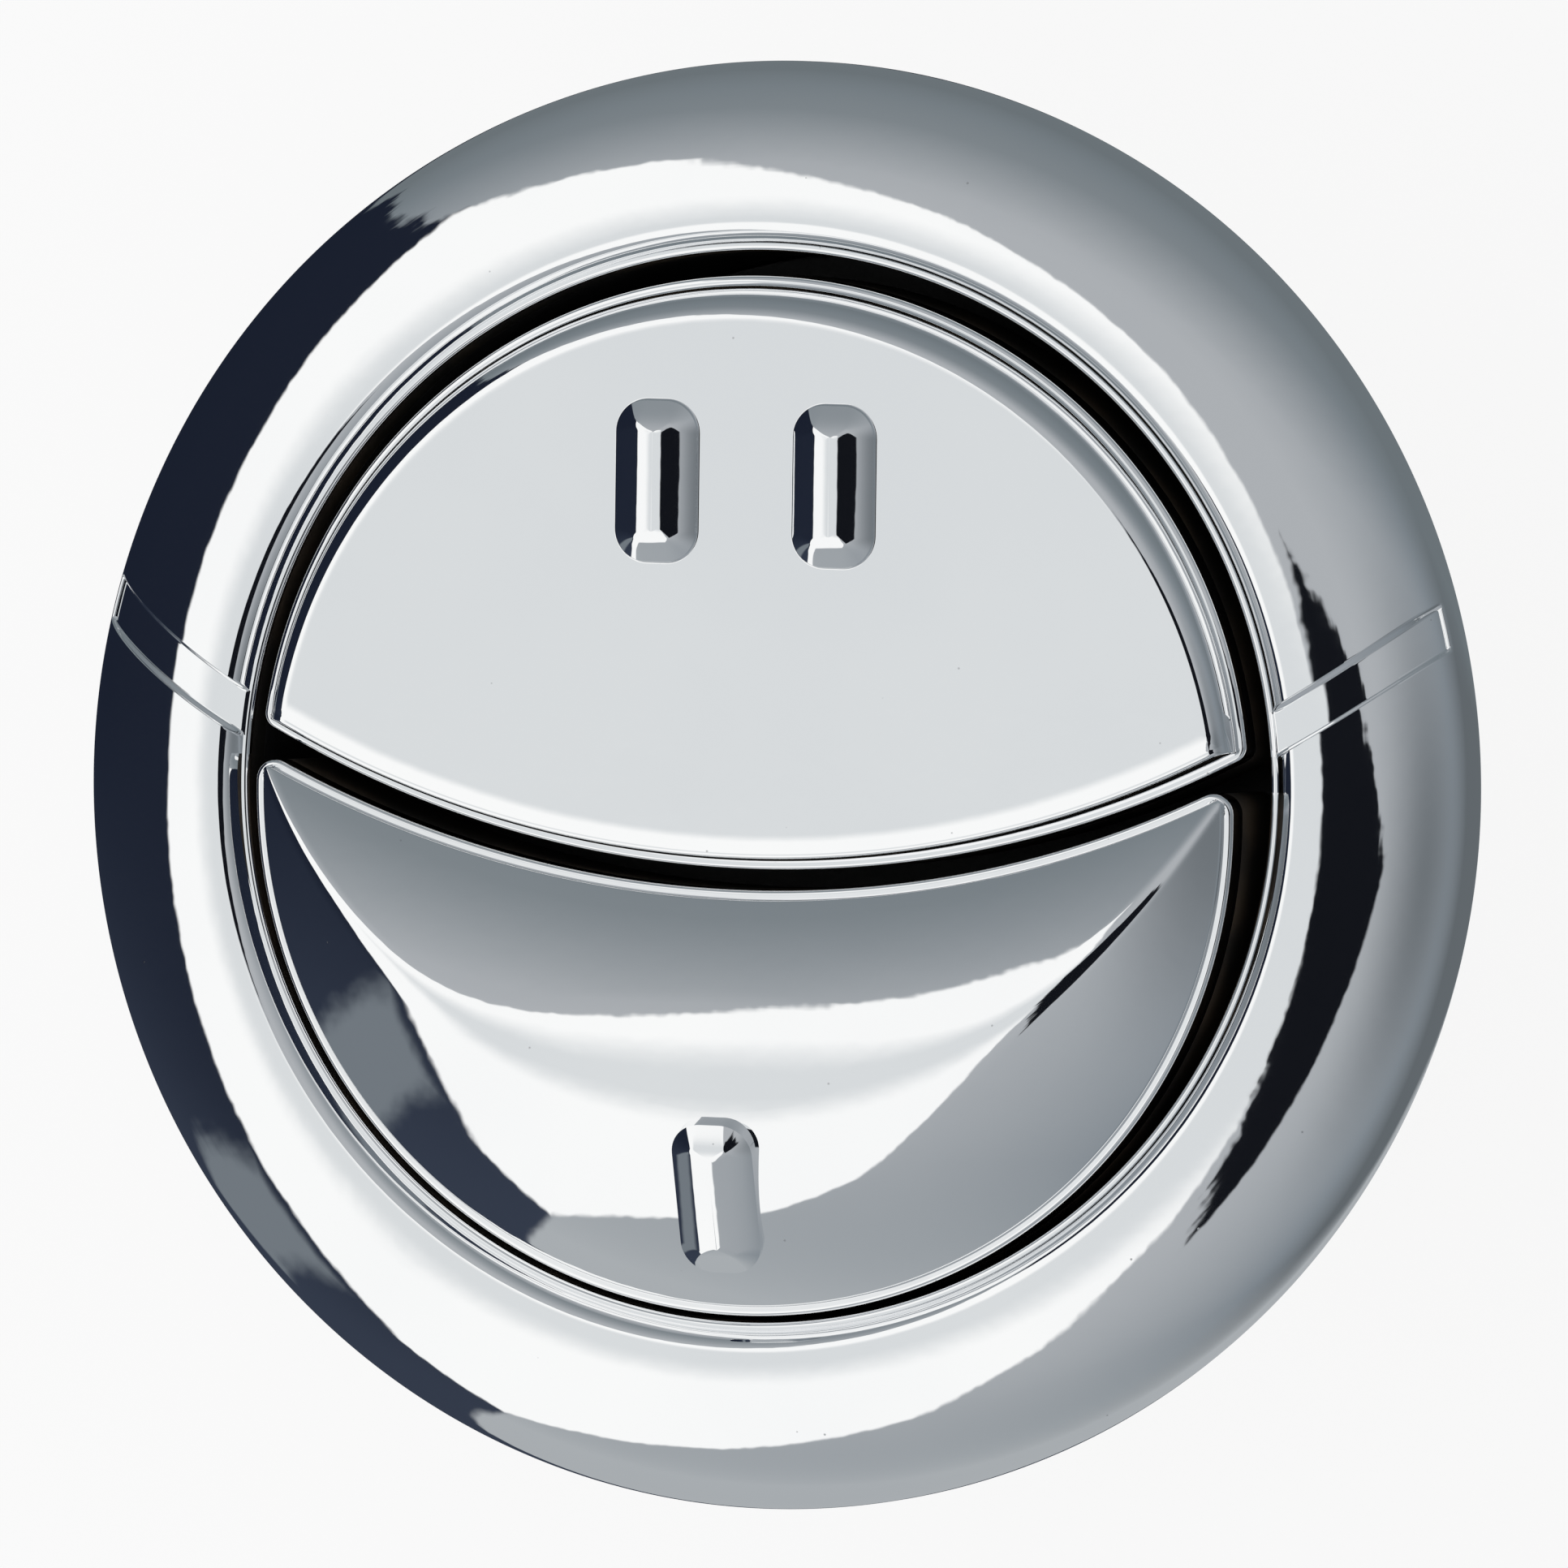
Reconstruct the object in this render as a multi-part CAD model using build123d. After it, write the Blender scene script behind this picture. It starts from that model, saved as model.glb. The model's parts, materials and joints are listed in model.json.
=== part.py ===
from build123d import *
from math import asin, cos, radians, sin, sqrt
import os

# Sizes in millimetres. z = 0 is the top of the cistern lid, +Y points to the full flush button.

# Bezel: domed ring that covers the lid's hole
bore_d = 53.8
bezel_w = 9.6
bezel_wall = 1.8
bezel_edge_z = 0.4
bezel_skirt_h = 0.7
dome_rise = 4.9
crown_w = 1.6
lip_ledge_w = 0.45
lip_step_h = 0.7
collar_wall = 1.4

# Shallow grooves that carry the smile line across the bezel
groove_w = 2.2
groove_depth = 0.6
groove_edge_gap = 1.1

# Smile line between the two buttons: one arc, with a gap along it
smile_r = 55.0
smile_mid_y = -4.65
smile_gap = 1.0

# Caps: plated shells
cap_wall = 1.4
cap_skirt_z = -0.5
cap_ledge_w = 0.42
cap_corner_r = 0.8
cap_tip_r = 1.0
full_clearance = 0.85
full_shift = 0.38
full_ledge_z = 6.2
full_tilt_deg = 3.1
full_rise = 1.0
bevel_deg = 30.0
bevel_soften_r = 0.5
half_clearance = 1.2
half_shift = 0.9
half_ledge_z = 7.75
half_tilt_deg = 4.4
pillow_r = 17.0
pillow_crest_gap = 1.6
pillow_foot_h = 0.25

# Raised flush marks, moulded on the caps
bar_w = 4.2
bar_l = 8.1
bar_h = 0.9
bar_corner_r = 1.9
bar_soften_r = 0.75
bar_root = 1.2
full_bar_x = 4.65
full_bar_y = 15.25
half_bar_edge_gap = 6.3
half_bar_tilt_deg = 18.0

# Barrel: flanged tube through the lid, with a plain register above its thread
barrel_wall = 1.6
flange_gap = 1.7
barrel_flange_t = 1.4
barrel_bottom_z = -24.0
register_proud = 0.8
register_end_z = -5.0
barrel_chamfer = 0.6
shoulder_w = 3.6
shoulder_t = 2.2

# Snap lugs inside the bezel's skirt, under the flange
lug_count = 6
lug_angle_deg = 18.0
lug_t = 0.7
lug_bite = 0.4
lug_clearance = 0.05

# Soft rings
gasket_t = 1.6
gasket_gap = 1.1
gasket_edge_gap = 0.6
washer_t = 1.5

# Ring nut on the barrel's thread, with grip lugs
nut_h = 6.0
nut_wall = 2.0
nut_face_t = 1.5
nut_lug_count = 12
nut_lug_w = 4.0
nut_lug_reach = 1.0
nut_top_z = -8.0
thread_clearance = 0.3

# Guide plate and its screws
plate_t = 2.4
plate_z = -12.0
plate_clearance = 0.2
sleeve_wall = 1.45
sleeve_top_z = -7.0
sleeve_bottom_z = -22.0
sleeve_clearance = 0.25
plate_screw_count = 4
plate_screw_inset = 4.6
plate_screw_d = 2.4
plate_screw_l = 10.0
plate_boss_d = 6.4
plate_boss_h = 9.0

# Sliders: seat plate and keyed stem under each cap
full_stem_y = 6.5
half_stem_y = -15.0
seat_top_z = 2.6
seat_t = 2.0
seat_clearance = 0.3
stem_d = 9.0
stem_bottom_z = -27.0
stem_bore_depth = 15.0
key_w = 1.4
key_proud = 0.7
key_end_gap = 0.5
full_screw_x = 14.0
full_screw_y = 8.0
half_screw_x = 11.0
half_screw_y = -13.5
slider_screw_d = 2.2
slider_screw_l = 4.4
cap_boss_d = 5.2
screw_clearance = 0.05
screw_hole_clearance = 0.3
screw_head_d = 4.6
screw_head_h = 1.5
screw_socket_d = 2.2
screw_socket_depth = 0.8
screw_head_soften_r = 0.5
screw_tip_gap = 0.5

# Retaining clips
clip_t = 0.8
clip_out_d = 13.0
clip_play = 0.3
clip_groove_depth = 0.6
clip_gap_w = 5.4
clip_seat_clearance = 0.05

# Springs
spring_wire_d = 0.9
spring_clearance = 0.35
spring_turns = 6

# Push rods and their locknuts
rod_d = 6.0
rod_tip_z = -78.0
rod_clearance = 0.05
rod_tip_chamfer = 0.8
rod_top_gap = 1.0
locknut_af = 10.0
locknut_h = 4.0

bore_r = bore_d / 2
bezel_r = bore_r + bezel_w
crown_r = bore_r + crown_w
groove_end_r = bezel_r - groove_edge_gap
spring_line_z = bezel_edge_z + bezel_skirt_h
crown_z = spring_line_z + dome_rise
lip_z = crown_z - lip_step_h
smile_y = smile_mid_y + smile_r
full_r = bore_r - full_clearance
half_r = bore_r - half_clearance
half_bar_y = half_bar_edge_gap - half_r - half_shift
flange_top_z = gasket_t + barrel_flange_t
flange_r = bezel_r - bezel_wall - flange_gap
barrel_in_r = bore_r
thread_r = barrel_in_r + barrel_wall
register_r = thread_r + register_proud
nut_in_r = thread_r + thread_clearance
nut_r = nut_in_r + nut_wall
shoulder_z = plate_z - plate_t
full_smile_r = smile_r - smile_gap / 2
half_smile_r = smile_r + smile_gap / 2
stem_r = stem_d / 2
sleeve_r = stem_r + sleeve_clearance + sleeve_wall
spring_r = sleeve_r + spring_clearance + spring_wire_d / 2
seat_z = seat_top_z - seat_t
plate_screw_ring_r = barrel_in_r - plate_screw_inset
very_tall = 4 * bezel_r


def between(low, high, sketch):
    return Pos(0, 0, low) * extrude(sketch, high - low)


def tube(low, high, outer_r, inner_r):
    return between(low, high, Circle(outer_r) - Circle(inner_r))


def spun(edges, centre_y):
    return revolve(make_face(edges), Axis((0, centre_y, 0), (0, 0, 1)))


def dome_block():
    level_ledge_r = bore_r + lip_ledge_w
    dome = EllipticalCenterArc(
        (crown_r, spring_line_z), bezel_r - crown_r, dome_rise, arc_size=90
    )
    roll = EllipticalCenterArc(
        (crown_r, lip_z), crown_r - level_ledge_r, lip_step_h, 90, arc_size=90
    )
    side = Polyline((level_ledge_r, lip_z), (0, lip_z), (0, bezel_edge_z), (bezel_r, bezel_edge_z))
    skirt = Line((bezel_r, bezel_edge_z), (bezel_r, spring_line_z))
    outline = Plane.XZ * make_face([skirt, dome, roll, side])
    return revolve(outline, Axis.Z)


def under_dome():
    inner_r = bezel_r - bezel_wall
    collar_r = bore_r + collar_wall
    arc = EllipticalCenterArc(
        (crown_r, spring_line_z), inner_r - crown_r, dome_rise - bezel_wall, arc_size=90
    )
    side = Polyline(
        (crown_r, crown_z - bezel_wall),
        (collar_r, crown_z - bezel_wall),
        (collar_r, bezel_edge_z),
        (inner_r, bezel_edge_z),
        (inner_r, spring_line_z),
    )
    return revolve(Plane.XZ * make_face([arc, side]), Axis.Z)


def snap_lugs():
    inner_r = bezel_r - bezel_wall
    lug_in_r = flange_r - lug_bite
    top_z = gasket_t - lug_clearance
    ring = Circle(inner_r + bezel_wall / 2) - Circle(lug_in_r)
    wedge_half = bezel_r * sin(radians(lug_angle_deg / 2))
    wedge = make_face(Polyline((0, 0), (bezel_r, -wedge_half), (bezel_r, wedge_half), (0, 0)))
    lug = between(top_z - lug_t, top_z, ring & wedge)
    return [Rot(Z=i * 360 / lug_count) * lug for i in range(lug_count)]


def grooves(block):
    band = Circle(smile_r + groove_w / 2) - Circle(smile_r - groove_w / 2)
    span = Circle(groove_end_r) - Circle(bore_r - groove_w)
    return between(0, very_tall, span & Pos(0, smile_y) * band) - Pos(0, 0, -groove_depth) * block


def bezel():
    block = dome_block()
    ring = block - under_dome() - between(-very_tall, very_tall, Circle(bore_r))
    ring -= between(-very_tall, flange_top_z, Circle(bore_r + collar_wall))
    return ring - grooves(block) + snap_lugs()


def full_outline(inset):
    rim = Pos(0, -full_shift) * Circle(full_r - inset)
    return rim & Pos(0, smile_y) * Circle(full_smile_r - inset)


def half_outline(inset):
    rim = Pos(0, -half_shift) * Circle(half_r - inset)
    return rim - Pos(0, smile_y) * Circle(half_smile_r + inset)


def bar(tall):
    body = extrude(RectangleRounded(bar_w, bar_l, bar_corner_r), tall)
    return fillet(body.edges().group_by(Axis.Z)[-1], bar_soften_r)


def below(place, body):
    return body - place * between(0, very_tall, Circle(2 * bezel_r))


def upright(outline, low, top_place):
    return below(top_place, between(low, very_tall, outline))


def skirt(outline, corner_r, ledge_place):
    return upright(fillet(outline.vertices(), corner_r), cap_skirt_z, ledge_place)


def screw_bosses(places, screw_tip_z):
    pilot = Circle(slider_screw_d / 2 + screw_clearance)
    boss = Circle(cap_boss_d / 2)
    bosses = [Pos(*p) * between(seat_top_z, very_tall, boss) for p in places]
    pilots = [Pos(*p) * between(seat_top_z, screw_tip_z, pilot) for p in places]
    return bosses, pilots


def slider_screw_tip_z():
    return seat_z + slider_screw_l


def full_cap():
    ledge = Pos(0, 0, full_ledge_z)
    top = ledge * Pos(0, 0, full_rise) * Rot(X=full_tilt_deg)
    far_rise = full_rise + full_r * sin(radians(full_tilt_deg))
    head = ledge * extrude(full_outline(cap_ledge_w), far_rise + full_rise, taper=bevel_deg)
    head = below(top, head)
    head = fillet(head.faces().sort_by(Axis.Z)[-1].edges(), bevel_soften_r)
    bars = [
        top * Pos(x, full_bar_y, -bar_root) * bar(bar_root + bar_h)
        for x in (-full_bar_x, full_bar_x)
    ]
    hollow = upright(full_outline(cap_wall), -very_tall, top * Pos(0, 0, -cap_wall))
    bosses, pilots = screw_bosses(screw_places("full"), slider_screw_tip_z() + screw_tip_gap)
    posts = [b & hollow for b in bosses]
    shell = skirt(full_outline(0), cap_corner_r, ledge) + head + bars
    return shell - hollow + posts - pilots


def pillow_arcs():
    edge_in = half_smile_r + cap_ledge_w
    edge_out = half_r - cap_ledge_w
    width = smile_y - edge_in + half_shift + edge_out
    reach = (width + pillow_crest_gap) / 2
    centre_z = pillow_foot_h - pillow_r * cos(asin(reach / pillow_r))
    return edge_in + reach, edge_out - reach, centre_z


def pillow(side_inset, skin, base_z):
    crest_in, crest_out, centre_z = pillow_arcs()
    arc_r = pillow_r - skin

    def profile(side_r, crest_r, far_r, y):
        def arc_z(r):
            return centre_z + sqrt(arc_r**2 - (r - crest_r) ** 2)

        mid_r = (side_r + crest_r) / 2
        arc = ThreePointArc(
            (side_r, y, arc_z(side_r)), (mid_r, y, arc_z(mid_r)), (crest_r, y, arc_z(crest_r))
        )
        frame = Polyline(
            (crest_r, y, arc_z(crest_r)),
            (crest_r, y, very_tall),
            (far_r, y, very_tall),
            (far_r, y, base_z),
            (side_r, y, base_z),
            (side_r, y, arc_z(side_r)),
        )
        return [arc, frame]

    ring = spun(
        profile(half_smile_r + side_inset, crest_in, smile_y + bezel_r, smile_y), smile_y
    )
    disc = spun(profile(half_r - side_inset, crest_out, 0, -half_shift), -half_shift)
    return ring & disc


def half_cap():
    place = Pos(0, 0, half_ledge_z) * Rot(X=half_tilt_deg)
    head = pillow(cap_ledge_w, 0, -cap_wall)
    inside = between(-very_tall, very_tall, half_outline(cap_wall))
    hollow = inside & place * pillow(cap_ledge_w, cap_wall, -very_tall)
    mark = Pos(0, half_bar_y, half_bar_z()) * Rot(X=half_bar_tilt_deg) * bar(bar_root + bar_h)
    bosses, pilots = screw_bosses(screw_places("half"), slider_screw_tip_z() + screw_tip_gap)
    posts = [b & hollow for b in bosses]
    shell = skirt(half_outline(0), cap_tip_r, place) + place * (head + mark)
    return shell - hollow + posts - pilots


def half_bar_z():
    _, crest_out, centre_z = pillow_arcs()
    from_crest = -half_shift - half_bar_y - crest_out
    return centre_z + sqrt(pillow_r**2 - from_crest**2) - bar_root


def screw_places(flush):
    x, y = (full_screw_x, full_screw_y) if flush == "full" else (half_screw_x, half_screw_y)
    return [(-x, y), (x, y)]


def pan_screw(diameter, length):
    head = extrude(Circle(screw_head_d / 2), screw_head_h)
    head = fillet(head.edges().group_by(Axis.Z)[-1], screw_head_soften_r)
    hexagon = RegularPolygon(screw_socket_d / 2, 6)
    socket = between(screw_head_h - screw_socket_depth, screw_head_h, hexagon)
    shank = between(-length, 0, Circle(diameter / 2))
    shank = chamfer(shank.edges().group_by(Axis.Z)[0], diameter / 4)
    return head - socket + shank


def slider(flush, outline, stem_y):
    at = Pos(0, stem_y)
    seat = between(seat_z, seat_top_z, outline(cap_wall + seat_clearance))
    stem = at * between(stem_bottom_z, seat_z, Circle(stem_r))
    keys = at * between(
        sleeve_bottom_z + key_end_gap, seat_z, Rectangle(stem_d + 2 * key_proud, key_w)
    )
    bore_top = stem_bottom_z + stem_bore_depth
    bore = at * between(stem_bottom_z, bore_top, Circle(rod_d / 2 + rod_clearance))
    groove_top = sleeve_bottom_z - clip_play + clip_seat_clearance
    groove_low = groove_top - clip_t - 2 * clip_seat_clearance
    groove = at * tube(groove_low, groove_top, clip_out_d / 2, stem_r - clip_groove_depth)
    hole = Circle(slider_screw_d / 2 + screw_hole_clearance)
    holes = [Pos(*p) * between(seat_z, seat_top_z, hole) for p in screw_places(flush)]
    return seat + stem + keys - bore - groove - holes


def slider_screws(flush):
    screw = pan_screw(slider_screw_d, slider_screw_l)
    return Compound(children=[Pos(*p, seat_z) * Rot(X=180) * screw for p in screw_places(flush)])


def retaining_clip(stem_y):
    top = sleeve_bottom_z - clip_play
    inner_r = stem_r - clip_groove_depth + clip_seat_clearance
    mouth = Pos(clip_out_d / 2) * Rectangle(clip_out_d, clip_gap_w)
    ring = Circle(clip_out_d / 2) - Circle(inner_r) - mouth
    return Pos(0, stem_y) * between(top - clip_t, top, ring)


def spring(stem_y):
    wire_r = spring_wire_d / 2
    height = seat_z - plate_z - spring_wire_d
    coil = Helix(height / spring_turns, height, spring_r)
    section = (coil ^ 0) * Circle(wire_r)
    return Pos(0, stem_y, plate_z + wire_r) * sweep(section, coil, is_frenet=True)


def rod(stem_y):
    top = stem_bottom_z + stem_bore_depth - rod_top_gap
    bar_round = between(rod_tip_z, top, Circle(rod_d / 2))
    return Pos(0, stem_y) * chamfer(bar_round.edges().group_by(Axis.Z)[0], rod_tip_chamfer)


def rod_locknut(stem_y):
    hexagon = RegularPolygon(locknut_af / 2, 6, major_radius=False)
    ring = hexagon - Circle(rod_d / 2 + rod_clearance)
    return Pos(0, stem_y) * between(stem_bottom_z - locknut_h, stem_bottom_z, ring)


def screw_ring():
    return PolarLocations(plate_screw_ring_r, plate_screw_count, 180 / plate_screw_count)


def threaded_barrel():
    thread = chamfer(
        between(barrel_bottom_z, register_end_z, Circle(thread_r)).edges().group_by(Axis.Z)[0],
        barrel_chamfer,
    )
    body = thread + between(register_end_z, gasket_t, Circle(register_r))
    body += between(gasket_t, flange_top_z, Circle(flange_r))
    body -= between(-very_tall, very_tall, Circle(barrel_in_r))
    mid_wall_r = barrel_in_r + barrel_wall / 2
    shoulder = tube(shoulder_z - shoulder_t, shoulder_z, mid_wall_r, barrel_in_r - shoulder_w)
    boss = between(shoulder_z - plate_boss_h, shoulder_z, Circle(plate_boss_d / 2))
    bosses = [p * boss for p in screw_ring()]
    inside = between(barrel_bottom_z, very_tall, Circle(mid_wall_r))
    pilot_z = plate_z - plate_screw_l - screw_tip_gap
    pilot = between(pilot_z, shoulder_z, Circle(plate_screw_d / 2 + screw_clearance))
    return body + shoulder + [b & inside for b in bosses] - [p * pilot for p in screw_ring()]


def guide_plate():
    disc = between(shoulder_z, plate_z, Circle(barrel_in_r - plate_clearance))
    sleeve = between(sleeve_bottom_z, sleeve_top_z, Circle(sleeve_r))
    keyway = Rectangle(
        stem_d + 2 * (key_proud + sleeve_clearance), key_w + 2 * sleeve_clearance
    )
    way = between(-very_tall, very_tall, Circle(stem_r + sleeve_clearance) + keyway)
    hole = between(-very_tall, very_tall, Circle(plate_screw_d / 2 + screw_hole_clearance))
    stems = [Pos(0, full_stem_y), Pos(0, half_stem_y)]
    disc = disc + [s * sleeve for s in stems] - [s * way for s in stems]
    return disc - [p * hole for p in screw_ring()]


def guide_plate_screws():
    screw = pan_screw(plate_screw_d, plate_screw_l)
    return Compound(children=[Pos(0, 0, plate_z) * p * screw for p in screw_ring()])


def lid_gasket():
    return tube(0, gasket_t, flange_r - gasket_edge_gap, register_r + gasket_gap)


def clamp_washer():
    outer_r = nut_r + nut_lug_reach
    return tube(nut_top_z, nut_top_z + washer_t, outer_r, register_r + thread_clearance)


def lock_nut():
    bottom_z = nut_top_z - nut_h
    lug = Pos(nut_r + nut_lug_reach / 2 - nut_wall / 4) * RectangleRounded(
        nut_lug_reach + nut_wall / 2, nut_lug_w, nut_wall / 4
    )
    lug = between(bottom_z, nut_top_z, lug)
    body = between(bottom_z, nut_top_z, Circle(nut_r))
    body += [Rot(Z=i * 360 / nut_lug_count) * lug for i in range(nut_lug_count)]
    body += between(nut_top_z - nut_face_t, nut_top_z, Circle(nut_r + nut_lug_reach / 2))
    return body - between(-very_tall, very_tall, Circle(nut_in_r))


def parts():
    yield "bezel", bezel()
    yield "lid_gasket", lid_gasket()
    yield "threaded_barrel", threaded_barrel()
    yield "guide_plate", guide_plate()
    yield "guide_plate_screws", guide_plate_screws()
    yield "clamp_washer", clamp_washer()
    yield "lock_nut", lock_nut()
    yield "full_flush_cap", full_cap()
    yield "half_flush_cap", half_cap()
    for flush, outline, stem_y in (
        ("full", full_outline, full_stem_y),
        ("half", half_outline, half_stem_y),
    ):
        yield f"{flush}_flush_slider", slider(flush, outline, stem_y)
        yield f"{flush}_flush_slider_screws", slider_screws(flush)
        yield f"{flush}_flush_spring", spring(stem_y)
        yield f"{flush}_flush_retaining_clip", retaining_clip(stem_y)
        yield f"{flush}_flush_rod", rod(stem_y)
        yield f"{flush}_flush_rod_locknut", rod_locknut(stem_y)


os.makedirs("parts", exist_ok=True)
for name, shape in parts():
    export_step(shape, f"parts/{name}.step")
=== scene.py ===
import json
import math

import bpy
import numpy as np
from mathutils import Matrix, Vector


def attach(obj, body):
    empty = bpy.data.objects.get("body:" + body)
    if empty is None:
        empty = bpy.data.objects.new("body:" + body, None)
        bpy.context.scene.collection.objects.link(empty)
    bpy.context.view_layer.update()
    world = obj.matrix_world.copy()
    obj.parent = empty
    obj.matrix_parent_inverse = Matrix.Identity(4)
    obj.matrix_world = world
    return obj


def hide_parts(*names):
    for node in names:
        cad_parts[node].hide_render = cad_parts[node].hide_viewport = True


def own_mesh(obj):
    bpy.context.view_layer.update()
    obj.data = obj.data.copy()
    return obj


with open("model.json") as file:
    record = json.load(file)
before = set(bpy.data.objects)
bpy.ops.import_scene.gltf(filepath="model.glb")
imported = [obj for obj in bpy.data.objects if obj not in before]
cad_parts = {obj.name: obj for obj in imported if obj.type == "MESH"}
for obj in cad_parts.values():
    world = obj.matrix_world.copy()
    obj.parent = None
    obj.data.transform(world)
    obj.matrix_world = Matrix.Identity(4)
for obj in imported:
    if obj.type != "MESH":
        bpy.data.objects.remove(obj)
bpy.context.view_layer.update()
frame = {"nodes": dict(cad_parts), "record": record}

nodes = frame["nodes"]
mm = 0.001
scene = bpy.context.scene
print("stage: frame loaded")


# Shell that stands for a CAD node. A part is points in millimetres, faces and material index.
def shell(node, parts, body, slotName, sharpDeg, finishes=None):
    verts, faces, indices, base = [], [], [], 0
    for pts, polys, index in parts:
        verts.append(np.asarray(pts, float))
        faces += [tuple(base + i for i in f) for f in polys]
        indices += list(index) if hasattr(index, "__len__") else [index] * len(polys)
        base += len(pts)
    name = node + "_shell"
    mesh = bpy.data.meshes.new(name)
    mesh.from_pydata((np.vstack(verts) * mm).tolist(), [], faces)
    for finish in finishes or [mats[slotName]]:
        mesh.materials.append(finish)
    mesh.polygons.foreach_set("material_index", indices)
    mesh.polygons.foreach_set("use_smooth", [True] * len(faces))
    mesh.set_sharp_from_angle(angle=math.radians(sharpDeg))
    mesh.update()
    obj = bpy.data.objects.new(name, mesh)
    scene.collection.objects.link(obj)
    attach(obj, body)
    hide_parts(node)
    return obj


def fullTurn(count):
    return np.linspace(0, 2 * math.pi, count, endpoint=False)


# Radius and height may each be one number or one for every angle
def ringAt(r, z, ang):
    return np.stack(np.broadcast_arrays(r * np.cos(ang), r * np.sin(ang), z), -1)


def flatRings(profile, cols):
    return [ringAt(r, z, fullTurn(cols)) for r, z in profile]


def ringFaces(rows, cols):
    out = []
    for a in range(0, (rows - 1) * cols, cols):
        for j in range(cols):
            k = (j + 1) % cols
            out.append((a + j, a + k, a + cols + k, a + cols + j))
    return out


def closeRing(rows, cols):
    last = (rows - 1) * cols
    return [(last + j, last + (j + 1) % cols, (j + 1) % cols, j) for j in range(cols)]


def endFaces(rows, cols):
    last = (rows - 1) * cols
    return [tuple(range(cols - 1, -1, -1)), tuple(range(last, last + cols))]


# Rings joined into a tube that closes on itself or has two flat ends.
# Their r-z outline runs counter-clockwise, so that faces look outwards.
def joinRings(rings, closed):
    rows, cols = len(rings), len(rings[0])
    ends = closeRing(rows, cols) if closed else endFaces(rows, cols)
    return np.vstack(rings), ringFaces(rows, cols) + ends


def boss(x, y, low, high, radius, index, count=40):
    pts, faces = joinRings(flatRings([(radius, low), (radius, high)], count), closed=False)
    return pts + np.array([x, y, 0]), faces, index


# Rounds the corners of a closed r-z outline: each corner is (r, z, radius)
def rounded(corners, steps=5):
    out = []
    for i, (r, z, radius) in enumerate(corners):
        here = np.array([r, z], float)
        before = np.array(corners[i - 1][:2], float) - here
        after = np.array(corners[(i + 1) % len(corners)][:2], float) - here
        if radius <= 0:
            out.append(tuple(here))
            continue
        a, b = before / np.linalg.norm(before), after / np.linalg.norm(after)
        for t in np.linspace(0, 1, steps):
            out.append(tuple(here + radius * (a * (1 - t) ** 2 + b * t ** 2)))
    return out


def smoothStep(t):
    return t * t * (3 - 2 * t)


def softMin(a, b, k):
    gap = np.maximum(k - np.abs(a - b), 0.0)
    return np.minimum(a, b) - gap * gap / (4 * k)


def nodeGroup(name, inputs, outputs):
    tree = bpy.data.node_groups.new(name, "ShaderNodeTree")
    for label, kind, value in inputs:
        sock = tree.interface.new_socket(name=label, in_out="INPUT", socket_type=kind)
        sock.default_value = value
    for label, kind in outputs:
        tree.interface.new_socket(name=label, in_out="OUTPUT", socket_type=kind)
    return tree, tree.nodes.new("NodeGroupInput"), tree.nodes.new("NodeGroupOutput")


def feed(tree, sock, value):
    if hasattr(value, "is_output"):
        tree.links.new(value, sock)
    else:
        sock.default_value = value


def calc(tree, operation, *values):
    node = tree.nodes.new("ShaderNodeMath")
    node.operation = operation
    for sock, value in zip(node.inputs, values):
        feed(tree, sock, value)
    return node.outputs[0]


def mixColour(tree, a, b, factor):
    node = tree.nodes.new("ShaderNodeMix")
    node.data_type = "RGBA"
    for index, value in ((0, factor), (6, a), (7, b)):  # the colour sockets of a Mix node are 6 and 7
        feed(tree, node.inputs[index], value)
    return node.outputs[2]


def mapRange(tree, value, low, high, outLow, outHigh, smooth=True):
    node = tree.nodes.new("ShaderNodeMapRange")
    node.interpolation_type = "SMOOTHSTEP" if smooth else "LINEAR"
    for sock, v in zip(node.inputs, (value, low, high, outLow, outHigh)):
        feed(tree, sock, v)
    return node.outputs[0]


def noise(tree, vector, scale, detail):
    node = tree.nodes.new("ShaderNodeTexNoise")
    feed(tree, node.inputs["Vector"], vector)
    feed(tree, node.inputs["Scale"], scale)
    node.inputs["Detail"].default_value = detail
    return node.outputs[0]


wearSet = {
    "patchDetail": 4.0, "patchFrom": 0.38, "patchTo": 0.68, "grainDetail": 2.0,
    "speckScale": 620.0, "speckAbove": 0.72, "speckCore": 0.02, "speckEdge": 0.05, "speckRough": 0.4,
}


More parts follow.
